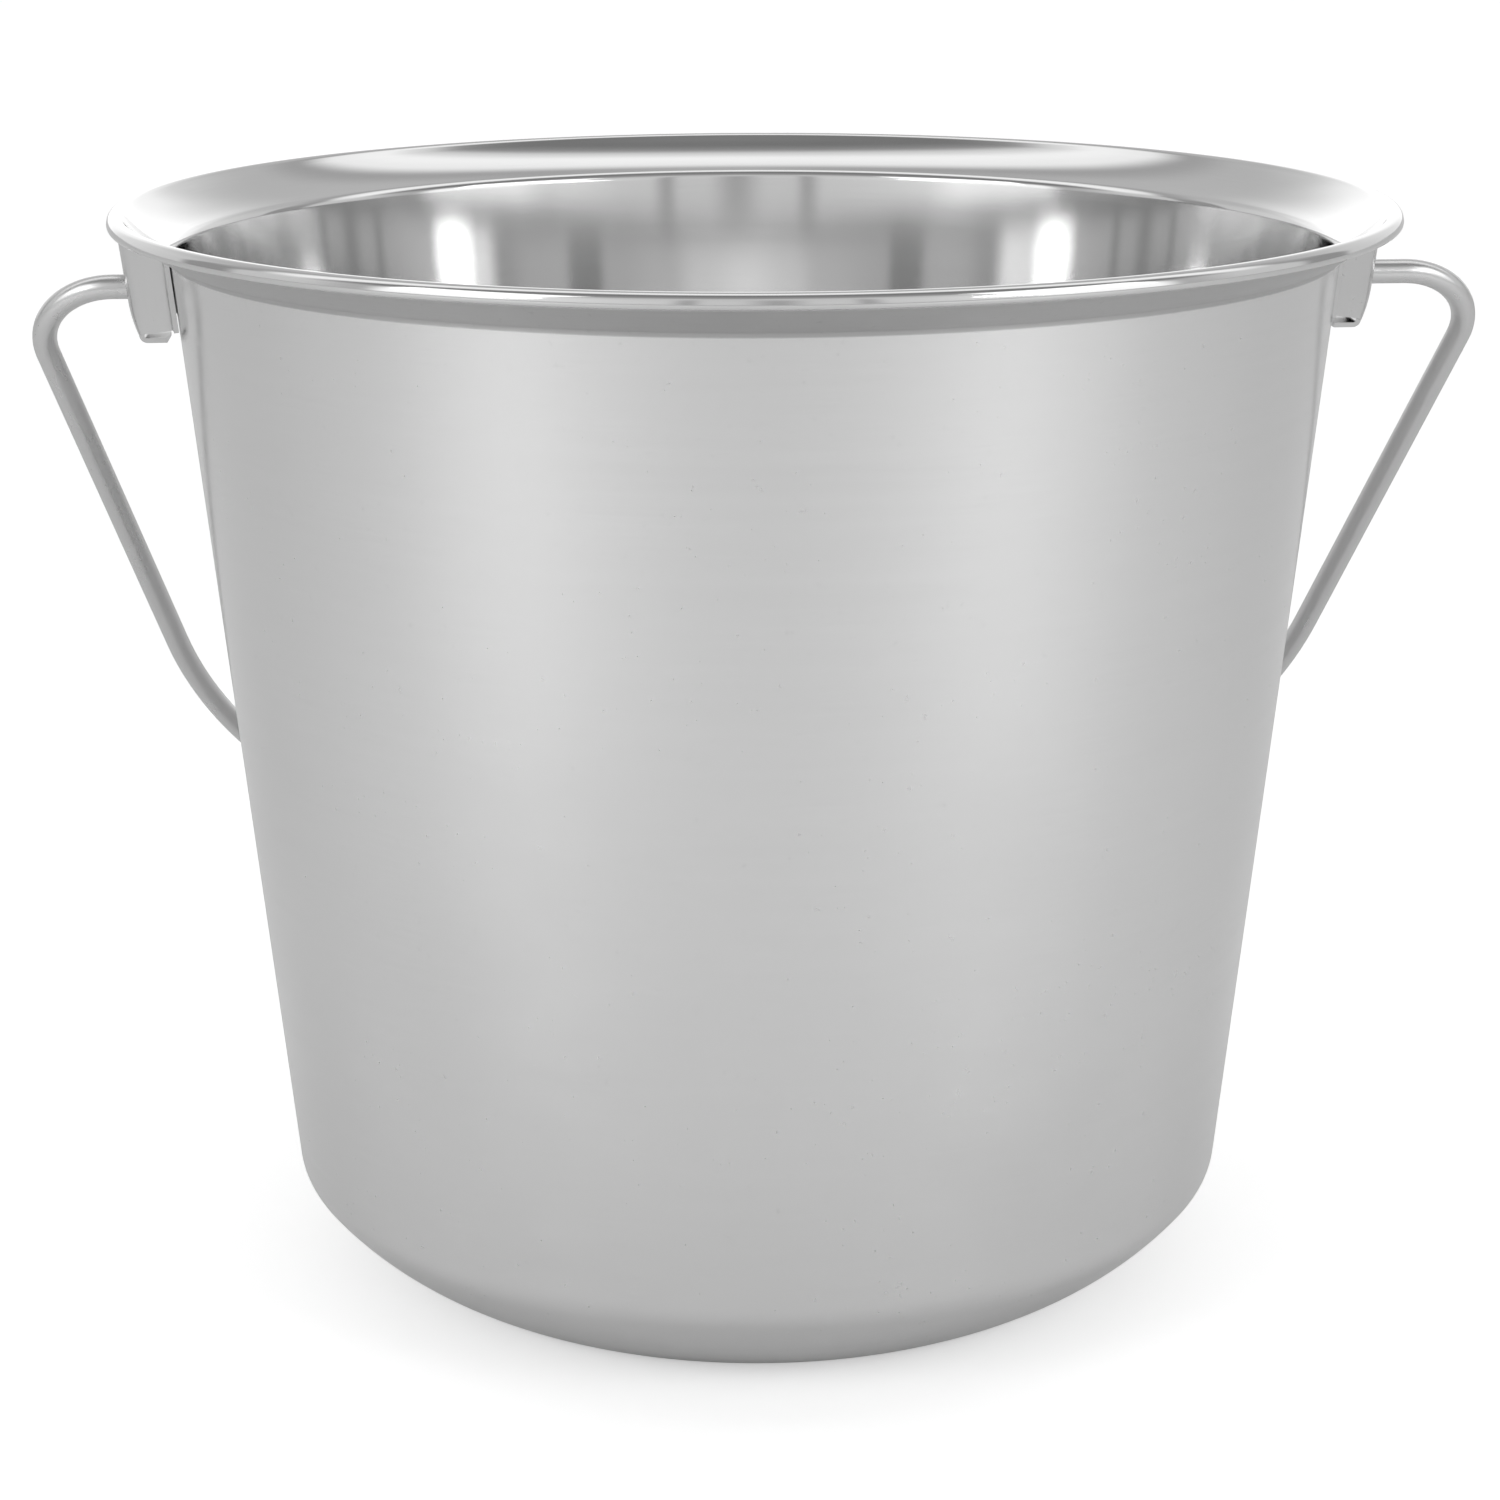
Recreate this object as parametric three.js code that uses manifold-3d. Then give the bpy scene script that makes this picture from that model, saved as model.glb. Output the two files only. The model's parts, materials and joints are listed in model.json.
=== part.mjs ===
// Milk pail: one deep-drawn stainless shell with a flared and hemmed rim, two pressed ears
// welded to the wall under the rim, and a bent wire bail whose headed ends turn in the ears.
//
// Millimetres. +Z is up, the origin is the middle of the bottom, and the bail turns about X.
// The bail hangs at the back, on the +Y side, with its grip resting on the wall.

import * as THREE from "three";
import { mergeVertices } from "three/addons/utils/BufferGeometryUtils.js";
import Module from "manifold-3d";

// Shell
const PAIL_HEIGHT = 267; // floor to the top of the rim
const RIM_RADIUS = 155; // outermost edge of the rim
const NECK_RADIUS = 140.8; // outside of the wall where the flange starts
const WALL_TAPER = 5.7; // degrees, each side
const SHELL_SHEET = 0.8;
const SHOULDER_RADIUS = 10; // outside, as are the next two: foot of the wall into the dish
const DISH_RADIUS = 74; // between the shoulder and the foot
const FOOT_RADIUS = 15; // dish into the flat bottom
const DISH_TOP = 51.7; // degrees above level, where the dish meets the shoulder
const DISH_FOOT = 25; // degrees above level, where the dish meets the foot
const PANEL_RADIUS = 70; // raised middle of the bottom
const PANEL_LIFT = 2.5;
const PANEL_STEP = 4; // radial run of the slope round the panel
const NECK_FILLET = 2.2; // middle of the sheet, as are the next three
const CROWN_RADIUS = 1.6;
const LIP_DROP = 0.6; // straight part of the lip
const HEM_RADIUS = 0.9;
const FLANGE_START = 25; // degrees above level, at the neck
const FLANGE_END = 55; // degrees above level, at the crown
const LIP_LEAN = 12; // degrees, the lip's foot stands proud of its top
const SHELL_SEGMENTS = 80;

// Ears
const PIVOT_DROP = 9.4; // neck to the bail's axis
const EAR_REACH = 11.5; // wall to the outer face, at the axis
const EAR_HALF_WIDTH = 21.4;
const EAR_ROOT = 16.5; // half width where the side leaves the wall
const EAR_FACE = 8; // half width where the side meets the outer face
const EAR_ROOT_FILLET = 4;
const EAR_FACE_FILLET = 6.5;
const EAR_SHEET = 1.2;
const EAR_BELOW_AXIS = 10.9;
const EAR_FACE_LEAN = 7; // degrees
const EAR_TOE_START = 3; // below the axis, where the face starts to curve in
const EAR_TOE_RADIUS = 26;
const EAR_SIDE_RISE = 2.8; // the sides are cut higher than the toe
const TAB_LENGTH = 6.7; // folded in under the bail's end
const TAB_WIDTH = 12;
const TAB_FOLD = 1.4; // middle of the sheet

// Bail
const WIRE = 6; // diameter
const BAIL_REACH = 223; // axis to the middle of the grip
const BAIL_RIM_CLEARANCE = 17.8; // widest part of the wire beyond the rim
const BAIL_LEG_ANGLE = 11.8; // degrees, each leg leans in
const BAIL_BEND = 18; // middle of the wire
const BAIL_SHOULDER = 120; // middle of the wire
const HEAD_DIAMETER = 11;
const HEAD_THICKNESS = 2;

// Fits
const WELD_GAP = 0.3; // ear to shell
const REST_GAP = 0.4; // bail to wall
const HOLE_PLAY = 1; // hole in the ear beyond the wire's diameter
const END_PLAY = 2.9; // each head to the inside of its ear, with the bail in the middle
const END_GAP = 0.4; // the bail has slid to +X until this is left
const LIP_GAP = 1.5; // top of the ear to the foot of the lip

const rad = THREE.MathUtils.degToRad;
const wasm = await Module();
wasm.setup();

// Outlines in a plane ------------------------------------------------------------------------

const point = (x, y) => new THREE.Vector2(x, y);
const along = (angle, length = 1) => point(Math.cos(angle), Math.sin(angle)).multiplyScalar(length);

// Points on an arc, both ends included.
function arc(centre, radius, from, to, steps) {
  return Array.from({ length: steps + 1 }, (_, i) =>
    along(from + ((to - from) * i) / steps, radius).add(centre),
  );
}

// A line of straight runs with its corners rounded; the first and last radii aren't used.
function roundedLine(corners, radii, steps) {
  return corners.flatMap((corner, i) => {
    if (i === 0 || i === corners.length - 1) {
      return [corner.clone()];
    }
    const into = corner.clone().sub(corners[i - 1]).normalize();
    const out = corners[i + 1].clone().sub(corner).normalize();
    const turn = Math.atan2(into.cross(out), into.dot(out));
    const run = radii[i] * Math.tan(Math.abs(turn) / 2);
    const side = Math.sign(turn) * (Math.PI / 2);
    const start = corner.clone().addScaledVector(into, -run);
    const centre = start.clone().add(along(into.angle() + side, radii[i]));
    const from = into.angle() - side;
    return arc(centre, radii[i], from, from + turn, steps);
  });
}

// A line moved sideways, to the right of its direction, with mitred corners.
function offsetLine(line, distance) {
  return line.map((here, i) => {
    const before = here.clone().sub(line[Math.max(i - 1, 0)]).normalize();
    const after = line[Math.min(i + 1, line.length - 1)].clone().sub(here).normalize();
    const into = i === 0 ? after : before;
    const out = i === line.length - 1 ? before : after;
    const bisector = into.clone().add(out).normalize();
    const stretch = distance / bisector.dot(into);
    return here.clone().add(point(bisector.y, -bisector.x).multiplyScalar(stretch));
  });
}

// The closed outline of a sheet whose middle follows a line.
function sheetOutline(middle, thickness) {
  const right = offsetLine(middle, thickness / 2);
  const left = offsetLine(middle, -thickness / 2);
  return [...right, ...left.reverse()];
}

// Solids -------------------------------------------------------------------------------------

function toSolid(geometry) {
  geometry.deleteAttribute("normal");
  geometry.deleteAttribute("uv");
  const merged = mergeVertices(geometry, 1e-4);
  return new wasm.Manifold(
    new wasm.Mesh({
      numProp: 3,
      vertProperties: new Float32Array(merged.attributes.position.array),
      triVerts: new Uint32Array(merged.index.array),
    }),
  );
}

function toGeometry(solid) {
  const mesh = solid.getMesh();
  const geometry = new THREE.BufferGeometry();
  geometry.setAttribute("position", new THREE.BufferAttribute(mesh.vertProperties, 3));
  geometry.setIndex(new THREE.BufferAttribute(mesh.triVerts, 1));
  geometry.computeVertexNormals();
  return geometry;
}

// A closed outline of radius and height, turned about Z.
function turned(outline) {
  const closed = [...outline, outline[0]];
  return new THREE.LatheGeometry(closed, SHELL_SEGMENTS).rotateX(Math.PI / 2);
}

// An outline in the XZ plane, made thick along Y, with y = 0 in its middle.
function plateAlongY(outline, width) {
  const plate = new THREE.ExtrudeGeometry(new THREE.Shape(outline), {
    depth: width,
    bevelEnabled: false,
  });
  return plate.rotateX(Math.PI / 2).translate(0, width / 2, 0);
}

// An outline in the YZ plane, made thick along X from x = 0.
function plateAlongX(outline, depth) {
  const plate = new THREE.ExtrudeGeometry(new THREE.Shape(outline), {
    depth,
    bevelEnabled: false,
  });
  return plate.applyMatrix4(
    new THREE.Matrix4().makeBasis(
      new THREE.Vector3(0, 1, 0),
      new THREE.Vector3(0, 0, 1),
      new THREE.Vector3(1, 0, 0),
    ),
  );
}

// Shell: the middle of its sheet, as radius and height ------------------------------------------

const taper = rad(WALL_TAPER);
const halfSheet = SHELL_SHEET / 2;
const lipDirection = rad(LIP_LEAN - 90);
const lipTop = along(lipDirection + Math.PI / 2, CROWN_RADIUS);
const lipFoot = lipTop.clone().add(along(lipDirection, LIP_DROP));
const hemCentre = lipFoot.clone().add(along(lipDirection - Math.PI / 2, HEM_RADIUS));
const crownCentre = point(
  RIM_RADIUS - halfSheet - HEM_RADIUS - hemCentre.x,
  PAIL_HEIGHT - halfSheet - CROWN_RADIUS,
);
[lipTop, lipFoot, hemCentre].forEach((place) => place.add(crownCentre));
const lipBottom = hemCentre.y - HEM_RADIUS - halfSheet;

// The flange is one arc from the end of the neck fillet to the crown.
const flangeStart = rad(FLANGE_START);
const flangeEnd = rad(FLANGE_END);
const neckTurn = Math.PI / 2 - taper - flangeStart;
const neckRun = NECK_FILLET * Math.tan(neckTurn / 2);
const neckMiddle = NECK_RADIUS - halfSheet / Math.cos(taper);
const flangeOuter = along(flangeEnd + Math.PI / 2, CROWN_RADIUS).add(crownCentre);
const flangeInnerRadius = neckMiddle + neckRun * Math.cos(flangeStart);
const flangeRadius =
  (flangeOuter.x - flangeInnerRadius) / (Math.sin(flangeEnd) - Math.sin(flangeStart));
const flangeCentre = flangeOuter.clone().add(along(flangeEnd + Math.PI / 2, flangeRadius));
const flangeInnerHeight = flangeCentre.y - flangeRadius * Math.cos(flangeStart);
const neckHeight = flangeInnerHeight - neckRun * Math.sin(flangeStart);

// Outside of the wall at a height, carried on past both ends of the wall.
const wallRadius = (height) => NECK_RADIUS - (neckHeight - height) * Math.tan(taper);

// From the floor up: foot, dish and shoulder, each tangent to the next, ending on the wall.
const dishFoot = rad(DISH_FOOT);
const dishTop = rad(DISH_TOP);
const slopes = [0, dishFoot, dishTop, Math.PI / 2 - taper];
const cornerRadii = [FOOT_RADIUS, DISH_RADIUS, SHOULDER_RADIUS];
const cornerSteps = [2, 4, 2];
const climb = cornerRadii.map((radius, i) =>
  point(
    radius * (Math.sin(slopes[i + 1]) - Math.sin(slopes[i])),
    radius * (Math.cos(slopes[i]) - Math.cos(slopes[i + 1])),
  ),
);
const shoulderHeight = climb.reduce((sum, step) => sum + step.y, 0);
const footRing = wallRadius(shoulderHeight) - climb.reduce((sum, step) => sum + step.x, 0);

// Middle of the sheet from the foot ring up to the wall.
function cornerLine() {
  const line = [];
  const tip = point(footRing, 0);
  cornerRadii.forEach((radius, i) => {
    const centre = tip.clone().add(along(slopes[i] + Math.PI / 2, radius));
    const from = slopes[i] - Math.PI / 2;
    const to = slopes[i + 1] - Math.PI / 2;
    line.push(...arc(centre, radius - halfSheet, from, to, cornerSteps[i]).slice(i ? 1 : 0));
    tip.add(climb[i]);
  });
  return line;
}

const neckCentre = point(neckMiddle, neckHeight)
  .add(along(Math.PI / 2 - taper, -neckRun))
  .add(along(-taper, NECK_FILLET));
const bottomLine = [
  point(0, PANEL_LIFT + halfSheet),
  point(PANEL_RADIUS, PANEL_LIFT + halfSheet),
  point(PANEL_RADIUS + PANEL_STEP, halfSheet),
];
const sideLine = [
  ...cornerLine(),
  ...arc(neckCentre, NECK_FILLET, Math.PI - taper, flangeStart + Math.PI / 2, 3),
  ...arc(flangeCentre, flangeRadius, flangeStart - Math.PI / 2, flangeEnd - Math.PI / 2, 4).slice(1),
];
const rimLine = [
  ...arc(crownCentre, CROWN_RADIUS, flangeEnd + Math.PI / 2, lipDirection + Math.PI / 2, 5).slice(1),
  ...arc(hemCentre, HEM_RADIUS, lipDirection + Math.PI / 2, lipDirection - Math.PI * 0.45, 4),
];

function pailShell() {
  return turned(sheetOutline([...bottomLine, ...sideLine, ...rimLine], SHELL_SHEET));
}

// Everything inside the wall and above the flange, grown by the weld gap.
function shellEnvelope() {
  const skin = offsetLine(sideLine, halfSheet + WELD_GAP);
  const top = PAIL_HEIGHT * 1.1;
  const rimOuter = skin.at(-1).x;
  return toSolid(turned([point(0, skin[0].y), ...skin, point(rimOuter, top), point(0, top)]));
}

// Ears ---------------------------------------------------------------------------------------

const pivotHeight = neckHeight - PIVOT_DROP;
const earBottom = pivotHeight - EAR_BELOW_AXIS;
const earTop = lipBottom - LIP_GAP;
const halfEar = EAR_SHEET / 2;

// Outer face of the ear at a height: straight, then curving in towards the toe.
function earFace(height) {
  const below = pivotHeight - height;
  const straight = wallRadius(pivotHeight) + EAR_REACH - below * Math.tan(rad(EAR_FACE_LEAN));
  const intoToe = Math.max(below - EAR_TOE_START, 0);
  return straight - intoToe ** 2 / (2 * EAR_TOE_RADIUS);
}

// Plan of the ear's sheet at a height, from one welded edge round the face to the other.
function earSection(height) {
  const seat = wallRadius(height) + WELD_GAP + halfEar;
  const onWall = (y) => point(Math.sqrt(seat ** 2 - y ** 2), y);
  const face = earFace(height) - halfEar;
  const corners = [
    onWall(-EAR_HALF_WIDTH),
    onWall(-EAR_ROOT),
    point(face, -EAR_FACE),
    point(face, EAR_FACE),
    onWall(EAR_ROOT),
    onWall(EAR_HALF_WIDTH),
  ];
  const radii = [0, EAR_ROOT_FILLET, EAR_FACE_FILLET, EAR_FACE_FILLET, EAR_ROOT_FILLET, 0];
  return sheetOutline(roundedLine(corners, radii, 4), EAR_SHEET);
}

// A skin through closed sections of equal length, with each end closed across the sheet.
function loft(sections, heights) {
  const count = sections[0].length;
  const positions = sections.flatMap((section, level) =>
    section.flatMap((p) => [p.x, p.y, heights[level]]),
  );
  const index = [];
  for (let level = 0; level < sections.length - 1; level += 1) {
    for (let i = 0; i < count; i += 1) {
      const a = level * count + i;
      const b = level * count + ((i + 1) % count);
      index.push(a, b, b + count, a, b + count, a + count);
    }
  }
  const last = (sections.length - 1) * count;
  for (let i = 0; i < count / 2 - 1; i += 1) {
    const a = i;
    const b = i + 1;
    const c = count - 2 - i;
    const d = count - 1 - i;
    index.push(a, c, b, a, d, c);
    index.push(last + a, last + b, last + c, last + a, last + c, last + d);
  }
  const geometry = new THREE.BufferGeometry();
  geometry.setAttribute("position", new THREE.Float32BufferAttribute(positions, 3));
  geometry.setIndex(index);
  return geometry;
}

// The ear at +X.
function ear() {
  const levels = 8;
  const heights = Array.from(
    { length: levels + 1 },
    (_, i) => earBottom + ((earTop - earBottom) * i) / levels,
  );
  const hat = toSolid(loft(heights.map(earSection), heights));

  const holeRadius = (WIRE + HOLE_PLAY) / 2;
  const hole = new THREE.CylinderGeometry(holeRadius, holeRadius, EAR_REACH, 32)
    .rotateZ(Math.PI / 2)
    .translate(earFace(pivotHeight), 0, pivotHeight);

  const below = earBottom - EAR_SIDE_RISE;
  const sideTop = earBottom + EAR_SIDE_RISE;
  const sideCut = [
    point(-TAB_WIDTH / 2, below),
    point(-TAB_WIDTH / 2, earBottom),
    point(-EAR_ROOT, sideTop),
    point(-EAR_HALF_WIDTH * 2, sideTop),
    point(-EAR_HALF_WIDTH * 2, below),
  ];
  const mirrored = sideCut.map((p) => point(-p.x, p.y)).reverse();

  const foldX = earFace(earBottom) - halfEar;
  const foldZ = earBottom - TAB_FOLD;
  const tabLine = roundedLine(
    [
      point(foldX, earBottom + halfEar),
      point(foldX, foldZ),
      point(foldX + halfEar - TAB_LENGTH, foldZ),
    ],
    [0, TAB_FOLD, 0],
    4,
  );
  const tab = toSolid(plateAlongY(sheetOutline(tabLine, EAR_SHEET), TAB_WIDTH));

  const cutDepth = RIM_RADIUS * 2;
  return toGeometry(
    hat
      .subtract(toSolid(plateAlongX(sideCut, cutDepth)))
      .subtract(toSolid(plateAlongX(mirrored, cutDepth)))
      .add(tab)
      .subtract(toSolid(hole))
      .subtract(shellEnvelope()),
  );
}

// Bail ---------------------------------------------------------------------------------------

// A path in the XZ plane as a curve in space.
class FlatCurve extends THREE.Curve {
  constructor(path) {
    super();
    this.path = path;
  }

  getPoint(t, target = new THREE.Vector3()) {
    const p = this.path.getPoint(t);
    return target.set(p.x, 0, p.y);
  }
}

const wireRadius = WIRE / 2;
const headSeat = earFace(pivotHeight - HEAD_DIAMETER / 2) - EAR_SHEET / Math.cos(rad(EAR_FACE_LEAN));
const headMiddle = headSeat - END_PLAY - HEAD_THICKNESS / 2;

// The wire's middle, hanging straight down from the axis at z = 0.
function bailPath() {
  const lean = rad(BAIL_LEG_ANGLE);
  const bendX = RIM_RADIUS + BAIL_RIM_CLEARANCE + wireRadius - BAIL_BEND;
  const bendEnd = along(-lean, BAIL_BEND).add(point(bendX, -BAIL_BEND));
  const shoulderZ = BAIL_SHOULDER - BAIL_REACH;
  const legRun = (bendEnd.y - (shoulderZ - BAIL_SHOULDER * Math.sin(lean))) / Math.cos(lean);
  const shoulderX = bendEnd.x - legRun * Math.sin(lean) - BAIL_SHOULDER * Math.cos(lean);
  const path = new THREE.Path();
  path.moveTo(headMiddle, 0);
  path.lineTo(bendX, 0);
  path.absarc(bendX, -BAIL_BEND, BAIL_BEND, Math.PI / 2, -lean, true);
  path.absarc(shoulderX, shoulderZ, BAIL_SHOULDER, -lean, -Math.PI / 2, true);
  path.absarc(-shoulderX, shoulderZ, BAIL_SHOULDER, -Math.PI / 2, lean - Math.PI, true);
  path.absarc(-bendX, -BAIL_BEND, BAIL_BEND, lean - Math.PI, -Math.PI * 1.5, true);
  path.lineTo(-headMiddle, 0);
  return path;
}

function bailWire() {
  const section = new THREE.Shape().absarc(0, 0, wireRadius, 0, Math.PI * 2);
  const wire = new THREE.ExtrudeGeometry(section, {
    steps: 110,
    curveSegments: 6,
    extrudePath: new FlatCurve(bailPath()),
  });
  const head = (side) =>
    toSolid(
      new THREE.CylinderGeometry(HEAD_DIAMETER / 2, HEAD_DIAMETER / 2, HEAD_THICKNESS, 28)
        .rotateZ(Math.PI / 2)
        .translate(side * headMiddle, 0, 0),
    );
  return toGeometry(toSolid(wire).add(head(1)).add(head(-1)));
}

// The tilt from straight down at which the grip comes to rest on the wall or on the floor.
function restTilt() {
  const reach = wireRadius + REST_GAP;
  const skin = offsetLine(sideLine, halfSheet);
  const touches = (tilt) => {
    const grip = point(BAIL_REACH * Math.sin(tilt), pivotHeight - BAIL_REACH * Math.cos(tilt));
    const onWall = skin.slice(1).some((end, i) => {
      const nearest = new THREE.Line3(
        new THREE.Vector3(skin[i].x, skin[i].y, 0),
        new THREE.Vector3(end.x, end.y, 0),
      ).closestPointToPoint(new THREE.Vector3(grip.x, grip.y, 0), true, new THREE.Vector3());
      return grip.distanceTo(nearest) < reach;
    });
    return onWall || grip.y < reach || grip.x < wallRadius(grip.y);
  };
  let clear = Math.PI / 2;
  let blocked = 0;
  while (clear - blocked > 1e-6) {
    const tilt = (clear + blocked) / 2;
    if (touches(tilt)) {
      blocked = tilt;
    } else {
      clear = tilt;
    }
  }
  return clear;
}

// Assembly -----------------------------------------------------------------------------------

const polished = { color: 0xc4c5c6, metalness: 1, roughness: 0.22 };
const pressed = { color: 0xbfc0c1, metalness: 1, roughness: 0.3 };
const drawn = { color: 0xb4b5b6, metalness: 1, roughness: 0.34 };

function named(name, geometry, finish) {
  const mesh = new THREE.Mesh(geometry, new THREE.MeshStandardMaterial(finish));
  mesh.name = name;
  return mesh;
}

const pail = new THREE.Group();
pail.add(named("pail_shell", pailShell(), polished));

const earRight = named("ear_right", ear(), pressed);
const earLeft = named("ear_left", earRight.geometry, pressed);
earLeft.rotation.z = Math.PI;
pail.add(earRight, earLeft);

const bail = named("bail", bailWire(), drawn);
bail.position.set(END_PLAY - END_GAP, 0, pivotHeight);
bail.rotation.x = restTilt();
pail.add(bail);

export default pail;
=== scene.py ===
"""Milk pail: turned steel shell with a hemmed rim, two pressed ears and a wire bail."""

import json
import math

import bmesh
import bpy
from mathutils import Matrix, Vector


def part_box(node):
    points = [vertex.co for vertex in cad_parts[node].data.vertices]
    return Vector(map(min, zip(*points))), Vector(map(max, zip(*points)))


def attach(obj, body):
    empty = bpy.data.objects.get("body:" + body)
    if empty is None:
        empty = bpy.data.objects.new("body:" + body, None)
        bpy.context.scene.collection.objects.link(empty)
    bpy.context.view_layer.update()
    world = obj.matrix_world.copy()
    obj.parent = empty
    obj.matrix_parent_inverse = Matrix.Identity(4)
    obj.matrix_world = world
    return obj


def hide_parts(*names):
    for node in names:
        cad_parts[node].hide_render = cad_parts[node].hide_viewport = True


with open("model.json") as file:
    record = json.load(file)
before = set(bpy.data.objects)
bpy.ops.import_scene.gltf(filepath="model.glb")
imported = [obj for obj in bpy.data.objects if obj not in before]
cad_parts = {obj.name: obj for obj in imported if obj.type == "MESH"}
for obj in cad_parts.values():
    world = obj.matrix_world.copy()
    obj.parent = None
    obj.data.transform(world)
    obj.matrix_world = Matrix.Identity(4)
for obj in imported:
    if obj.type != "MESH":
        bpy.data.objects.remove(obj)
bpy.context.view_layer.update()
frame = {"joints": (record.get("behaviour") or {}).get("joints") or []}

MM = 0.001
UP = Vector((0, 0, 1))
QUARTER = math.pi / 2
MERGE = 0.001 * MM  # points closer than this are one
RUN_MARGINS = (0.3 * MM, 1.5 * MM, 6 * MM)  # short steps at the ends of a straight run

# Shell, along the middle of its sheet unless it says otherwise
SHEET = 0.8 * MM
WALL_TAPER = math.radians(5.7)
NECK_RADIUS = 140.8 * MM  # outside
CORNER_RADII = (15 * MM, 74 * MM, 10 * MM)  # outside: foot, dish and shoulder
CORNER_SLOPES = tuple(math.radians(slope) for slope in (0, 25, 51.7, 90 - 5.7))
CORNER_STEPS = (12, 24, 14)
PANEL_RADIUS = 70 * MM
PANEL_LIFT = 2.5 * MM
PANEL_STEP = 4 * MM
PANEL_FILLET = 2.5 * MM
NECK_FILLET = 2.2 * MM
CROWN_RADIUS = 1.6 * MM
LIP_DROP = 0.6 * MM
HEM_RADIUS = 0.9 * MM
FLANGE_START = math.radians(25)
FLANGE_END = math.radians(55)
LIP_DIRECTION = math.radians(12 - 90)
HEM_TURN = math.radians(81)
SHELL_STEPS = 320
PANEL_STEPS = 6
NECK_STEPS = 10
FLANGE_STEPS = 12
CROWN_STEPS = 16
HEM_STEPS = 14

# The hem and the wall's top are left unpolished (rougher), and their colour is darkened as painted
# shade under the rim; measured down and in from the rim
RAW_AND_SHADE_START = 3.7 * MM
RAW_AND_SHADE_LIP_END = 7 * MM
RAW_AND_SHADE_WALL_END = 11.5 * MM
RAW_AND_SHADE_LIP_DEPTH = 0.8 * MM
RAW_AND_SHADE_BLEND = (0.5 * MM, 0.4 * MM)  # at its start and at its end
# painted shade: the colour of the band under the rim is multiplied by this
UNDER_RIM_PAINTED_SHADE = 0.68
RAW_ROUGHNESS = 0.2

# Ears
WELD_GAP = 0.3 * MM
EAR_SHEET = 1.2 * MM
EAR_REACH = 11.5 * MM
EAR_HALF_WIDTH = 21.4 * MM
EAR_ROOT = 16.5 * MM
EAR_FACE = 8 * MM
EAR_ROOT_FILLET = 4 * MM
EAR_FACE_FILLET = 6.5 * MM
EAR_BELOW_AXIS = 10.9 * MM
EAR_FACE_LEAN = math.radians(7)
EAR_TOE_START = 3 * MM
EAR_TOE_RADIUS = 26 * MM
EAR_SIDE_RISE = 2.8 * MM
TAB_LENGTH = 6.7 * MM
TAB_WIDTH = 12 * MM
TAB_FOLD = 1.4 * MM
LIP_GAP = 1.5 * MM
HOLE_PLAY = 1 * MM
EAR_LEVELS = 24  # rows of the sheet up the ear
EAR_FILLET_STEPS = 8
EAR_TRIM_ROUNDS = 6  # each round brings the trimmed top closer to the flange
FOLD_STEPS = 6
HOLE_STEPS = 48
EAR_EDGE = 0.18 * MM

# Bail
WIRE = 6 * MM
BAIL_REACH = 223 * MM
BAIL_RIM_CLEARANCE = 17.8 * MM
BAIL_LEAN = math.radians(11.8)
BAIL_BEND = 18 * MM
BAIL_SHOULDER = 120 * MM
HEAD_DIAMETER = 11 * MM
HEAD_THICKNESS = 2 * MM
END_PLAY = 2.9 * MM
END_GAP = 0.4 * MM  # the bail has slid to +X until this is left
WIRE_STEPS = 32

half_sheet = SHEET / 2
rim_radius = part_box("pail_shell")[1].x
pail_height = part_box("pail_shell")[1].z
pivot_height = frame["joints"][0]["pos_m"][2]


def polar(angle, radius):
    """A step in the XZ plane."""
    return Vector((math.cos(angle), 0, math.sin(angle))) * radius


# ---------------------------------------------------------------- pieces from sheet and wire

def run_to(bm, tip, place):
    """A straight run of line, with short steps next to its ends so that the bends shade cleanly."""
    start = tip.co.copy()
    length = (place - start).length
    margins = [margin for margin in RUN_MARGINS if margin < length / 3]
    stops = margins + [length - margin for margin in reversed(margins)] + [length]
    for stop in stops:
        tip = bmesh.ops.extrude_vert_indiv(bm, verts=[tip])["verts"][0]
        tip.co = start.lerp(place, stop / length)
    return tip


def bend_line(bm, tip, centre, angle, steps):
    """Carries the tip of a line round a centre in the XZ plane."""
    made = bmesh.ops.spin(
        bm, geom=[tip], cent=centre, axis=(0, -1, 0), angle=angle, steps=steps
    )
    return next(g for g in made["geom_last"] if isinstance(g, bmesh.types.BMVert))


def piece_from(bm, name, material, body, smooth_angle=35):
    """The object made from a mesh, on its body and in its slot."""
    mesh = bpy.data.meshes.new(name)
    bm.to_mesh(mesh)
    bm.free()
    mesh.shade_smooth()
    mesh.set_sharp_from_angle(angle=math.radians(smooth_angle))
    piece = bpy.data.objects.new(name, mesh)
    bpy.context.scene.collection.objects.link(piece)
    mesh.materials.append(material)
    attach(piece, body)
    return piece


def settle(piece):
    """Applies the modifiers of a piece."""
    graph = bpy.context.evaluated_depsgraph_get()
    mesh = bpy.data.meshes.new_from_object(piece.evaluated_get(graph))
    piece.modifiers.clear()
    piece.data = mesh


def thicken(piece, thickness):
    """Gives a sheet its thickness, half to each side."""
    wall = piece.modifiers.new("sheet", "SOLIDIFY")
    wall.thickness = thickness
    wall.offset = 0
    wall.use_even_offset = True


# ---------------------------------------------------------------- shell

lip_top = polar(LIP_DIRECTION + QUARTER, CROWN_RADIUS)
lip_foot = lip_top + polar(LIP_DIRECTION, LIP_DROP)
hem_centre = lip_foot + polar(LIP_DIRECTION - QUARTER, HEM_RADIUS)
crown_centre = Vector(
    (rim_radius - half_sheet - HEM_RADIUS - hem_centre.x, 0, pail_height - half_sheet - CROWN_RADIUS)
)
hem_centre += crown_centre
lip_bottom = hem_centre.z - HEM_RADIUS - half_sheet

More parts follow.
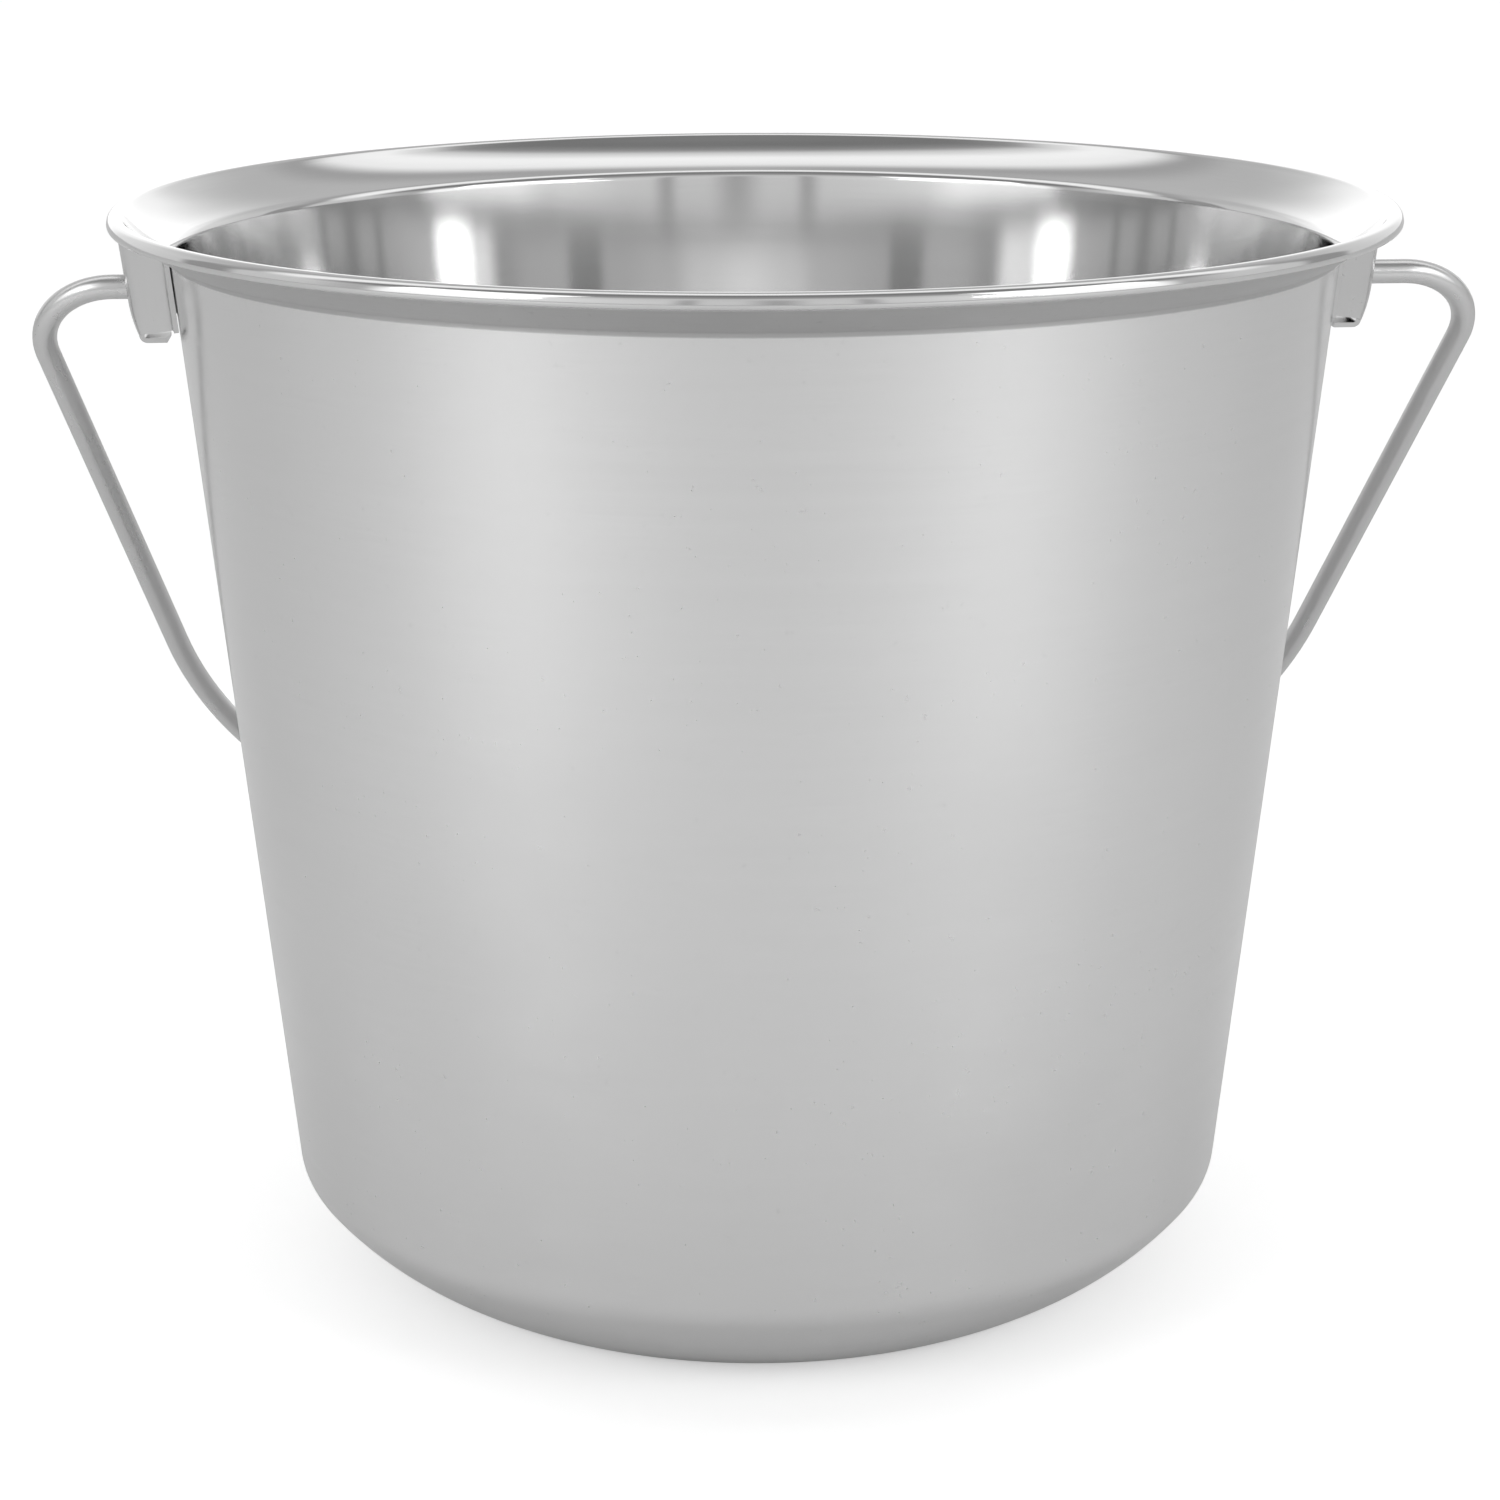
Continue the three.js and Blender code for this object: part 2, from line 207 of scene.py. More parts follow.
neck_turn = QUARTER - WALL_TAPER - FLANGE_START
neck_run = NECK_FILLET * math.tan(neck_turn / 2)
neck_middle = NECK_RADIUS - half_sheet / math.cos(WALL_TAPER)
flange_outer = crown_centre + polar(FLANGE_END + QUARTER, CROWN_RADIUS)
flange_inner_radius = neck_middle + neck_run * math.cos(FLANGE_START)
flange_radius = (flange_outer.x - flange_inner_radius) / (
    math.sin(FLANGE_END) - math.sin(FLANGE_START)
)
flange_centre = flange_outer + polar(FLANGE_END + QUARTER, flange_radius)
neck_height = (
    flange_centre.z - flange_radius * math.cos(FLANGE_START) - neck_run * math.sin(FLANGE_START)
)
neck_centre = (
    Vector((neck_middle, 0, neck_height))
    + polar(-QUARTER - WALL_TAPER, neck_run)
    + polar(-WALL_TAPER, NECK_FILLET)
)


def wall_radius(height):
    """Outside of the wall."""
    return NECK_RADIUS - (neck_height - height) * math.tan(WALL_TAPER)


def corner_bends():
    """Foot, dish and shoulder, from the floor up, each tangent to the next and the last to the wall."""
    climbs = [
        Vector((math.sin(end) - math.sin(start), 0, math.cos(start) - math.cos(end))) * radius
        for radius, start, end in zip(CORNER_RADII, CORNER_SLOPES, CORNER_SLOPES[1:])
    ]
    whole = sum(climbs, Vector())
    tip = Vector((wall_radius(whole.z) - whole.x, 0, 0))
    bends = []
    for radius, start, end, steps, climb in zip(
        CORNER_RADII, CORNER_SLOPES, CORNER_SLOPES[1:], CORNER_STEPS, climbs
    ):
        centre = tip + polar(start + QUARTER, radius)
        bends.append((centre, radius - half_sheet, start - QUARTER, end - QUARTER, steps))
        tip += climb
    return bends


def pail_shell(outside, inside):
    """The sheet's line from the middle of the bottom to the end of the hem, spun round the axis."""
    step_slope = math.atan2(PANEL_LIFT, PANEL_STEP)
    panel_run = PANEL_FILLET * math.tan(step_slope / 2)
    panel_height = PANEL_LIFT + half_sheet
    step_top = Vector((PANEL_RADIUS - panel_run, 0, panel_height - PANEL_FILLET))
    step_foot = Vector((PANEL_RADIUS + PANEL_STEP + panel_run, 0, half_sheet + PANEL_FILLET))
    bends = [
        (step_top, PANEL_FILLET, QUARTER, QUARTER - step_slope, PANEL_STEPS),
        (step_foot, PANEL_FILLET, -QUARTER - step_slope, -QUARTER, PANEL_STEPS),
        *corner_bends(),
        (neck_centre, NECK_FILLET, math.pi - WALL_TAPER, FLANGE_START + QUARTER, NECK_STEPS),
        (flange_centre, flange_radius, FLANGE_START - QUARTER, FLANGE_END - QUARTER, FLANGE_STEPS),
        (crown_centre, CROWN_RADIUS, FLANGE_END + QUARTER, LIP_DIRECTION + QUARTER, CROWN_STEPS),
        (hem_centre, HEM_RADIUS, LIP_DIRECTION + QUARTER, LIP_DIRECTION - HEM_TURN, HEM_STEPS),
    ]
    bm = bmesh.new()
    tip = bm.verts.new((0, 0, panel_height))
    for centre, radius, start, end, steps in bends:
        foot = centre + polar(start, radius)
        if (foot - tip.co).length > 10 * MERGE:
            tip = run_to(bm, tip, foot)
        tip = bend_line(bm, tip, centre, end - start, steps)
    bmesh.ops.spin(
        bm, geom=bm.verts[:] + bm.edges[:], cent=(0, 0, 0), axis=UP,
        angle=2 * math.pi, steps=SHELL_STEPS, use_merge=True,
    )
    bmesh.ops.remove_doubles(bm, verts=bm.verts[:], dist=MERGE)
    bmesh.ops.recalc_face_normals(bm, faces=bm.faces[:])
    piece = piece_from(bm, "turned_shell", inside, "pail", 50)
    piece.data.materials.append(outside)
    thicken(piece, SHEET)
    piece.modifiers["sheet"].material_offset = 1  # the outer side takes the second material
    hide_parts("pail_shell")
    return piece


# ---------------------------------------------------------------- ears

ear_bottom = pivot_height - EAR_BELOW_AXIS
ear_top = lip_bottom - LIP_GAP
half_ear = EAR_SHEET / 2


def ear_face(height):
    """Outside of the ear's face."""
    below = pivot_height - height
    straight = wall_radius(pivot_height) + EAR_REACH - below * math.tan(EAR_FACE_LEAN)
    return straight - max(below - EAR_TOE_START, 0) ** 2 / (2 * EAR_TOE_RADIUS)


def ear_top_at(radius):
    """The ear is trimmed to the flange where it runs under it."""
    reach = flange_radius + half_sheet + WELD_GAP
    out = min(max(radius - flange_centre.x, 0), reach)
    return min(ear_top, flange_centre.z - math.sqrt(reach**2 - out**2))


def ear_section(height):
    """Middle of the ear's sheet, from one welded edge round the face to the other."""
    seat = wall_radius(height) + WELD_GAP + half_ear

    def on_wall(y):
        return Vector((math.sqrt(seat**2 - y**2), y, height))

    face = ear_face(height) - half_ear
    corners = [
        on_wall(-EAR_HALF_WIDTH), on_wall(-EAR_ROOT), Vector((face, -EAR_FACE, height)),
        Vector((face, EAR_FACE, height)), on_wall(EAR_ROOT), on_wall(EAR_HALF_WIDTH),
    ]
    fillets = [EAR_ROOT_FILLET, EAR_FACE_FILLET, EAR_FACE_FILLET, EAR_ROOT_FILLET]
    line = [corners[0]]
    for before, corner, after, fillet in zip(corners, corners[1:], corners[2:], fillets):
        into, out = (corner - before).normalized(), (after - corner).normalized()
        turn = into.angle(out)
        side = UP if into.cross(out).z > 0 else -UP
        centre = corner - into * fillet * math.tan(turn / 2) + side.cross(into) * fillet
        spoke = -side.cross(into) * fillet
        line += [
            centre + Matrix.Rotation(turn * step / EAR_FILLET_STEPS, 3, side) @ spoke
            for step in range(EAR_FILLET_STEPS + 1)
        ]
    return line + [corners[-1]]


def ear_blank():
    """A grid bent to the ear's section at each level, from the toe up to the flange."""
    toe_line = ear_section(ear_bottom)
    bm = bmesh.new()
    bmesh.ops.create_grid(bm, x_segments=len(toe_line) - 1, y_segments=EAR_LEVELS, size=1)
    places = sorted(bm.verts, key=lambda v: (round(v.co.x, 5), v.co.y))
    for index, vertex in enumerate(places):
        along, level = divmod(index, EAR_LEVELS + 1)
        outward = (abs(toe_line[along].y) - TAB_WIDTH / 2) / (EAR_ROOT - TAB_WIDTH / 2)
        bottom = ear_bottom + EAR_SIDE_RISE * min(max(outward, 0), 1)
        top = ear_top
        for _ in range(EAR_TRIM_ROUNDS):
            edge = ear_section(top)[along]
            top = ear_top_at(math.hypot(edge.x, edge.y) + half_ear)
        height = bottom + (top - bottom) * level / EAR_LEVELS
        vertex.co = ear_section(height)[along]
    return bm


def fold_tab(bm):
    """Folds the tab at the toe in under the face."""
    toe = [
        edge for edge in bm.edges
        if edge.is_boundary and all(
            abs(v.co.y) <= TAB_WIDTH / 2 and v.co.z < ear_bottom + 10 * MERGE for v in edge.verts
        )
    ]
    fold_x = ear_face(ear_bottom) - half_ear
    fold = bmesh.ops.spin(
        bm, geom=toe + list({v for edge in toe for v in edge.verts}),
        cent=(fold_x - TAB_FOLD, 0, ear_bottom), axis=(0, 1, 0), angle=QUARTER, steps=FOLD_STEPS,
    )
    last = [part for part in fold["geom_last"] if isinstance(part, bmesh.types.BMEdge)]
    tab = bmesh.ops.extrude_edge_only(bm, edges=last)["geom"]
    bmesh.ops.translate(
        bm, verts=[part for part in tab if isinstance(part, bmesh.types.BMVert)],
        vec=(TAB_FOLD - TAB_LENGTH + half_ear, 0, 0),
    )


def drill_ear(piece, side):
    """Cuts the hole for the wire."""
    drill = bmesh.new()
    hole_radius = (WIRE + HOLE_PLAY) / 2
    bmesh.ops.create_cone(
        drill, cap_ends=True, segments=HOLE_STEPS, radius1=hole_radius, radius2=hole_radius,
        depth=EAR_REACH,
        matrix=Matrix.Translation((side * ear_face(pivot_height), 0, pivot_height))
        @ Matrix.Rotation(QUARTER, 4, "Y"),
    )
    mesh = bpy.data.meshes.new("drill")
    drill.to_mesh(mesh)
    drill.free()
    cutter = bpy.data.objects.new("drill", mesh)
    bpy.context.scene.collection.objects.link(cutter)
    hole = piece.modifiers.new("hole", "BOOLEAN")
    hole.operation = "DIFFERENCE"
    hole.solver = "EXACT"
    hole.object = cutter
    settle(piece)
    bpy.data.objects.remove(cutter)


def pressed_ear(name, material, node, mirrored):
    bm = ear_blank()
    fold_tab(bm)
    bmesh.ops.remove_doubles(bm, verts=bm.verts[:], dist=MERGE)
    if mirrored:
        half_turn = Matrix.Rotation(math.pi, 3, UP)
        bmesh.ops.rotate(bm, verts=bm.verts[:], cent=(0, 0, 0), matrix=half_turn)
    bmesh.ops.recalc_face_normals(bm, faces=bm.faces[:])
    piece = piece_from(bm, name, material, "pail")
    thicken(piece, EAR_SHEET)
    drill_ear(piece, -1 if mirrored else 1)

    sharp = math.radians(50)
    soften = piece.modifiers.new("edges", "BEVEL")
    soften.width = EAR_EDGE
    soften.segments = 3
    soften.limit_method = "ANGLE"
    soften.angle_limit = sharp
    piece.data.shade_smooth()
    piece.data.set_sharp_from_angle(angle=sharp)
    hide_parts(node)
    return piece


# ---------------------------------------------------------------- bail

def bent_bail(material):
    """Half the wire from the middle of the grip to its head, then mirrored."""
    wire_radius = WIRE / 2
    bend_x = rim_radius + BAIL_RIM_CLEARANCE + wire_radius - BAIL_BEND
    grip_middle = Vector((0, 0, -BAIL_REACH))
    bend_end = Vector((bend_x, 0, -BAIL_BEND)) + polar(-BAIL_LEAN, BAIL_BEND)
    shoulder_z = BAIL_SHOULDER - BAIL_REACH
    leg = (bend_end.z - shoulder_z + BAIL_SHOULDER * math.sin(BAIL_LEAN)) / math.cos(BAIL_LEAN)
    shoulder_x = bend_end.x - leg * math.sin(BAIL_LEAN) - BAIL_SHOULDER * math.cos(BAIL_LEAN)
    head_seat = ear_face(pivot_height - HEAD_DIAMETER / 2) - EAR_SHEET / math.cos(EAR_FACE_LEAN)
    head_middle = head_seat - END_PLAY - HEAD_THICKNESS / 2

    bm = bmesh.new()
    section = bm.verts.layers.float_vector.new("section")
    ring = bmesh.ops.create_circle(
        bm, segments=WIRE_STEPS, radius=wire_radius,
        matrix=Matrix.Translation(grip_middle) @ Matrix.Rotation(QUARTER, 4, "Y"),
    )["verts"]
    for vertex in ring:
        vertex[section] = (vertex.co - grip_middle) / wire_radius

    def ring_edges(verts):
        chosen = set(verts)
        return [e for e in bm.edges if e.verts[0] in chosen and e.verts[1] in chosen]

    def pull(verts, step, pieces=1):
        for _ in range(pieces):
            made = bmesh.ops.extrude_edge_only(bm, edges=ring_edges(verts))["geom"]
            verts = [g for g in made if isinstance(g, bmesh.types.BMVert)]
            bmesh.ops.translate(bm, verts=verts, vec=step / pieces)
        return verts

    def bend(verts, centre, angle, steps):
        made = bmesh.ops.spin(
            bm, geom=verts + ring_edges(verts), cent=centre, axis=(0, -1, 0),
            angle=angle, steps=steps,
        )
        return [g for g in made["geom_last"] if isinstance(g, bmesh.types.BMVert)]

    def swell(verts, radius_from, radius_to, centre):
        bmesh.ops.scale(
            bm, verts=verts, vec=(1, radius_to / radius_from, radius_to / radius_from),
            space=Matrix.Translation(-centre),
        )

    ring = pull(ring, Vector((shoulder_x, 0, 0)), 6)
    ring = bend(ring, (shoulder_x, 0, shoulder_z), QUARTER - BAIL_LEAN, 48)
    ring = pull(ring, polar(QUARTER - BAIL_LEAN, leg), 12)
    ring = bend(ring, (bend_x, 0, -BAIL_BEND), QUARTER + BAIL_LEAN, 40)
    neck_x = head_middle + HEAD_THICKNESS / 2
    ring = pull(ring, Vector((neck_x - bend_x, 0, 0)), 3)
    ring = pull(ring, Vector())
    swell(ring, wire_radius, HEAD_DIAMETER / 2, Vector((neck_x, 0, 0)))
    ring = pull(ring, Vector((-HEAD_THICKNESS, 0, 0)))
    cap = bmesh.ops.contextual_create(bm, geom=ring_edges(ring))["faces"]
    bmesh.ops.inset_region(bm, faces=cap, thickness=HEAD_DIAMETER / 4, use_even_offset=True)
    bmesh.ops.mirror(
        bm, geom=bm.verts[:] + bm.edges[:] + bm.faces[:], matrix=Matrix.Identity(4),
        merge_dist=10 * MERGE, axis="X",
    )
    bmesh.ops.recalc_face_normals(bm, faces=bm.faces[:])

    low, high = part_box("bail")
    tilt = math.atan2(high.y - wire_radius, pivot_height - low.z - wire_radius)
    hung = Matrix.Translation((END_PLAY - END_GAP, 0, pivot_height)) @ Matrix.Rotation(tilt, 4, "X")
    bmesh.ops.transform(bm, verts=bm.verts[:], matrix=hung)
    piece = piece_from(bm, "bent_bail", material, "bail")
    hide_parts("bail")
    return piece


# ---------------------------------------------------------------- steel finishes

BLUR_TURN = 0.25  # reflections are drawn out up the wall, across the turning lines
STREAKS_TO_LINES = 0.11
CLOUD_SCALE = 22.0
SPECKS_TO_CLOUDS = 30.0
SPECK_CUT = (0.66, 0.76)
STREAK_DEPTH = 0.03  # this depth and the next two are changes of roughness
CLOUD_DEPTHS = (-0.03, 0.04)
SPECK_DEPTH = 0.05
SHADE_DEPTH = 0.015
LINE_DEPTH = 0.02 * MM
GRAIN_SQUEEZE = 0.02
EAR_GRAIN_SQUEEZE = 0.15
raw_and_shade_top = pail_height - RAW_AND_SHADE_START


def effect_group(name, inputs, outputs):
    """A node group with named inputs and their first values, and named outputs."""
    group = bpy.data.node_groups.new(name, "ShaderNodeTree")
    for label, kind, value in inputs:
        socket = group.interface.new_socket(label, in_out="INPUT", socket_type=kind)
        if value is not None:
            socket.default_value = value
    for label, kind in outputs:
        group.interface.new_socket(label, in_out="OUTPUT", socket_type=kind)
    return group, group.nodes.new("NodeGroupInput"), group.nodes.new("NodeGroupOutput")


def number_node(tree, operation, first, second):
    """Works on two numbers, each a value or another node's output."""
    node = tree.nodes.new("ShaderNodeMath")
    node.operation = operation
    for socket, value in zip(node.inputs, (first, second)):
        if isinstance(value, (int, float)):
            socket.default_value = value
        else:
            tree.links.new(value, socket)
    return node.outputs[0]


def vector_node(tree, operation, first, second):
    """Works on two vectors, each a value or another node's output."""
    node = tree.nodes.new("ShaderNodeVectorMath")
    node.operation = operation
    for socket, value in zip(node.inputs, (first, second)):
        if isinstance(value, (tuple, list)):
            socket.default_value = value
        else:
            tree.links.new(value, socket)
    return node.outputs[0]


def noise_node(tree, vector, scale, detail, roughness):
    """Noise from 0 to 1. The scale is a value or another node's output."""
    node = tree.nodes.new("ShaderNodeTexNoise")
    tree.links.new(vector, node.inputs["Vector"])
    if isinstance(scale, (int, float)):
        node.inputs["Scale"].default_value = scale
    else:
        tree.links.new(scale, node.inputs["Scale"])
    node.inputs["Detail"].default_value = detail
    node.inputs["Roughness"].default_value = roughness
    return node.outputs["Fac"]


def spread(tree, value, low, high, start=0.25, end=0.75):
    """Carries a value that runs from start to end over to one that runs from low to high."""
    node = tree.nodes.new("ShaderNodeMapRange")
    node.inputs["From Min"].default_value = start
    node.inputs["From Max"].default_value = end
    node.inputs["To Min"].default_value = low
    node.inputs["To Max"].default_value = high
    tree.links.new(value, node.inputs["Value"])
    return node.outputs["Result"]


def height_and_radius(tree, place):
    """Height above the floor and distance from the pail's axis."""
    split = tree.nodes.new("ShaderNodeSeparateXYZ")
    tree.links.new(place, split.inputs[0])
    length = tree.nodes.new("ShaderNodeVectorMath")
    length.operation = "LENGTH"
    tree.links.new(vector_node(tree, "MULTIPLY", place, (1, 1, 0)), length.inputs[0])
    return split.outputs["Z"], length.outputs["Value"]


def grain_group():
    """Fine lines of a satin finish. The vector is squeezed along the lines before it comes in."""
    group, taken, given = effect_group(
        "satin_grain",
        [("Vector", "NodeSocketVector", None), ("Scale", "NodeSocketFloat", 1.0)],
        [("Lines", "NodeSocketFloat"), ("Streaks", "NodeSocketFloat")],
    )
    vector, scale = taken.outputs["Vector"], taken.outputs["Scale"]
    fine = noise_node(group, vector, scale, detail=3.0, roughness=0.7)
    slow = number_node(group, "MULTIPLY", scale, STREAKS_TO_LINES)
    broad = noise_node(group, vector, slow, detail=3.0, roughness=0.6)
    group.links.new(fine, given.inputs["Lines"])
    group.links.new(broad, given.inputs["Streaks"])
    return group


def handling_group():
    """Cloudy marks left by hands and polishing cloths, and small specks."""
    group, taken, given = effect_group(
        "handling_marks",
        [("Vector", "NodeSocketVector", None), ("Scale", "NodeSocketFloat", CLOUD_SCALE)],
        [("Clouds", "NodeSocketFloat"), ("Specks", "NodeSocketFloat")],
    )
    vector, scale = taken.outputs["Vector"], taken.outputs["Scale"]
    clouds = noise_node(group, vector, scale, detail=4.0, roughness=0.55)
    quick = number_node(group, "MULTIPLY", scale, SPECKS_TO_CLOUDS)
    specks = noise_node(group, vector, quick, detail=2.0, roughness=0.5)
    group.links.new(clouds, given.inputs["Clouds"])
    group.links.new(spread(group, specks, 0, 1, *SPECK_CUT), given.inputs["Specks"])
    return group


def place_group(tree, group, vector, scale):
    node = tree.nodes.new("ShaderNodeGroup")
    node.node_tree = group
    tree.links.new(vector, node.inputs["Vector"])
    node.inputs["Scale"].default_value = scale
    return node.outputs


def raw_and_painted_shade_mask(tree, place, raw_and_shade_from, raw_and_shade_radius):
    """1 on the unpolished hem and the unpolished sheet under the rim, where the colour also takes
    painted shade, 0 elsewhere.
    """
    height, radius = height_and_radius(tree, place)
    start_blend, end_blend = RAW_AND_SHADE_BLEND
    over = spread(tree, height, 0, 1, raw_and_shade_from, raw_and_shade_from + end_blend)
    under = spread(tree, height, 1, 0, raw_and_shade_top - start_blend, raw_and_shade_top)
    band = number_node(tree, "MULTIPLY", over, under)
    return number_node(tree, "MULTIPLY", band, number_node(tree, "GREATER_THAN", radius, raw_and_shade_radius))


def steel(name, grey, roughness, anisotropy, grain_vector, grain_scale, bump,
          wander=1.0, raw_and_shade_from=None, raw_and_shade_radius=0.0):
    """Stainless steel. grain_vector makes the squeezed pattern vector in the material's nodes.

    wander is how much the roughness changes over the piece. The sheet is left unpolished, with
    its colour darkened as painted shade under the rim, above raw_and_shade_from and outside
    raw_and_shade_radius, up to raw_and_shade_top.
    """
    material = bpy.data.materials.new(name)
    material.use_nodes = True
    tree = material.node_tree
    shader = next(node for node in tree.nodes if node.type == "BSDF_PRINCIPLED")
    shader.inputs["Metallic"].default_value = 1
    shader.inputs["Anisotropic"].default_value = anisotropy
    shader.inputs["Anisotropic Rotation"].default_value = BLUR_TURN
    place = tree.nodes.new("ShaderNodeTexCoord").outputs["Object"]
    grain = place_group(tree, effects["grain"], grain_vector(tree, place), grain_scale)
    marks = place_group(tree, effects["handling"], place, CLOUD_SCALE)
    specks = number_node(tree, "MULTIPLY", marks["Specks"], SPECK_DEPTH * wander)

    streaks = spread(tree, grain["Streaks"], -STREAK_DEPTH * wander, STREAK_DEPTH * wander)
    least, most = (roughness + depth * wander for depth in CLOUD_DEPTHS)
    rough = number_node(tree, "ADD", streaks, spread(tree, marks["Clouds"], least, most))
    rough = number_node(tree, "ADD", rough, specks)

    lines = spread(tree, grain["Lines"], -SHADE_DEPTH, SHADE_DEPTH)
    clouds = spread(tree, marks["Clouds"], 1 - SHADE_DEPTH, 1 + SHADE_DEPTH)
    shade = number_node(tree, "SUBTRACT", number_node(tree, "ADD", lines, clouds), specks)
    # painted shade under the rim darkens the band's colour; its added roughness is the unpolished
    # finish
    if raw_and_shade_from:
        raw_shade_band = raw_and_painted_shade_mask(tree, place, raw_and_shade_from, raw_and_shade_radius)
        shade = number_node(tree, "MULTIPLY", shade, spread(tree, raw_shade_band, 1, UNDER_RIM_PAINTED_SHADE, 0, 1))
        rough = number_node(
            tree, "ADD", rough, number_node(tree, "MULTIPLY", raw_shade_band, RAW_ROUGHNESS)
        )
    tint = tree.nodes.new("ShaderNodeMix")
    tint.data_type = "RGBA"
    tint.blend_type = "MULTIPLY"
    tint.inputs["Factor"].default_value = 1
    tint.inputs["A"].default_value = (grey, grey, grey, 1)
    tree.links.new(shade, tint.inputs["B"])
    tree.links.new(tint.outputs["Result"], shader.inputs["Base Color"])
    tree.links.new(rough, shader.inputs["Roughness"])

    relief = tree.nodes.new("ShaderNodeBump")
    relief.inputs["Strength"].default_value = bump
    relief.inputs["Distance"].default_value = LINE_DEPTH
    tree.links.new(grain["Lines"], relief.inputs["Height"])
    tree.links.new(relief.outputs["Normal"], shader.inputs["Normal"])
    return material


def turned_vector(tree, place):
    """Long round the pail's axis, short up the wall and across the bottom."""
    height, radius = height_and_radius(tree, place)
    join = tree.nodes.new("ShaderNodeCombineXYZ")
    tree.links.new(number_node(tree, "ADD", height, radius), join.inputs["Z"])
    slow = vector_node(tree, "MULTIPLY", place, (GRAIN_SQUEEZE, GRAIN_SQUEEZE, 0))
    return vector_node(tree, "ADD", slow, join.outputs[0])


def drawn_vector(tree, place):
    """Long along the wire, short round it."""
    round_wire = tree.nodes.new("ShaderNodeAttribute")
    round_wire.attribute_name = "section"
    across = vector_node(tree, "MULTIPLY", round_wire.outputs["Vector"], (WIRE / 2,) * 3)
    slow = vector_node(tree, "MULTIPLY", place, (GRAIN_SQUEEZE,) * 3)
    return vector_node(tree, "ADD", slow, across)


def pressed_vector(tree, place):
    """Long up the ear."""
    return vector_node(tree, "MULTIPLY", place, (1, 1, EAR_GRAIN_SQUEEZE))


effects = {"grain": grain_group(), "handling": handling_group()}
outer_steel = steel(
    "turned_steel", grey=0.72, roughness=0.22, anisotropy=0.8,
    grain_vector=turned_vector, grain_scale=2400, bump=0.05,
    raw_and_shade_from=pail_height - RAW_AND_SHADE_WALL_END,
)
inner_steel = steel(
    "polished_steel", grey=0.66, roughness=0.09, anisotropy=0.8,
    grain_vector=turned_vector, grain_scale=2400, bump=0.0, wander=0.2,
    raw_and_shade_from=pail_height - RAW_AND_SHADE_LIP_END, raw_and_shade_radius=rim_radius - RAW_AND_SHADE_LIP_DEPTH,
)
ear_steel = steel(
    "pressed_steel", grey=0.66, roughness=0.24, anisotropy=0.0,
    grain_vector=pressed_vector, grain_scale=1200, bump=0.1,
)
wire_steel = steel(
    "drawn_steel", grey=0.64, roughness=0.28, anisotropy=0.0,
    grain_vector=drawn_vector, grain_scale=1500, bump=0.15,
)

pail_shell(outer_steel, inner_steel)
pressed_ear("pressed_ear_right", ear_steel, "ear_right", mirrored=False)
pressed_ear("pressed_ear_left", ear_steel, "ear_left", mirrored=True)
bent_bail(wire_steel)


# ---------------------------------------------------------------- floor, light and camera

FLOOR_HALF = 10
FLOOR_GREY = 0.8
FLOOR_GLOW = 0.45  # only for the camera, so that the floor runs out to white
CEILING = [  # place from floor level in front, over the top, to floor level behind; brightness
    (0.0, 0.7), (0.2, 0.75), (0.28, 0.4), (0.43, 0.25), (0.47, 0.35), (0.51, 1.0), (0.55, 1.35),
    (0.61, 1.25), (0.67, 0.5), (0.74, 0.65), (1.0, 0.7),
]
SCREENS = [  # degrees from the camera's side, brightness; the same on the left and the right
    (0, 0.5), (7, 0.8), (12, 0.8), (15, 0.5), (19, 0.85), (40, 1.0), (50, 1.45), (68, 1.45),
    (74, 0.6), (88, 0.8), (102, 0.8), (107, 0.4), (117, 0.4), (121, 0.8), (148, 0.95), (160, 1.25),
    (180, 1.5),
]
SCREEN_TOPS = [(0.25, 0), (0.6, 1)]  # sine of the height angle, share of the ceiling
LIGHTS = [  # name, place, what it points at, width, watts
    ("left_softbox", (-1.3, -1.0, 1.1), (-0.25, -0.25, 0), 0.9, 3.5),
    ("right_softbox", (1.3, -1.0, 1.1), (0.25, -0.25, 0), 0.9, 3.5),
    ("left_table_light", (-0.53, -0.5, 0.42), (-0.53, -0.5, 0), 0.2, 0.8),
    ("right_table_light", (0.46, -0.56, 0.42), (0.46, -0.56, 0), 0.2, 0.8),
]


def pale_floor():
    bm = bmesh.new()
    bmesh.ops.create_grid(bm, x_segments=1, y_segments=1, size=FLOOR_HALF)
    mesh = bpy.data.meshes.new("floor")
    bm.to_mesh(mesh)
    bm.free()
    floor = bpy.data.objects.new("floor", mesh)
    bpy.context.scene.collection.objects.link(floor)
    material = bpy.data.materials.new("pale_floor")
    material.use_nodes = True
    tree = material.node_tree
    shader = next(node for node in tree.nodes if node.type == "BSDF_PRINCIPLED")
    shader.inputs["Base Color"].default_value = (FLOOR_GREY, FLOOR_GREY, FLOOR_GREY, 1)
    shader.inputs["Roughness"].default_value = 1
    shader.inputs["Specular IOR Level"].default_value = 0
    shader.inputs["Emission Color"].default_value = (1, 1, 1, 1)
    seen = tree.nodes.new("ShaderNodeLightPath").outputs["Is Camera Ray"]
    glow = number_node(tree, "MULTIPLY", seen, FLOOR_GLOW)
    tree.links.new(glow, shader.inputs["Emission Strength"])
    mesh.materials.append(material)


def soft_light(name, place, target, width, power):
    light = bpy.data.lights.new(name, "AREA")
    light.shape = "RECTANGLE"
    light.size = light.size_y = width
    light.energy = power
    lamp = bpy.data.objects.new(name, light)
    lamp.location = place
    lamp.rotation_euler = (Vector(target) - Vector(place)).to_track_quat("-Z", "Y").to_euler()
    bpy.context.scene.collection.objects.link(lamp)


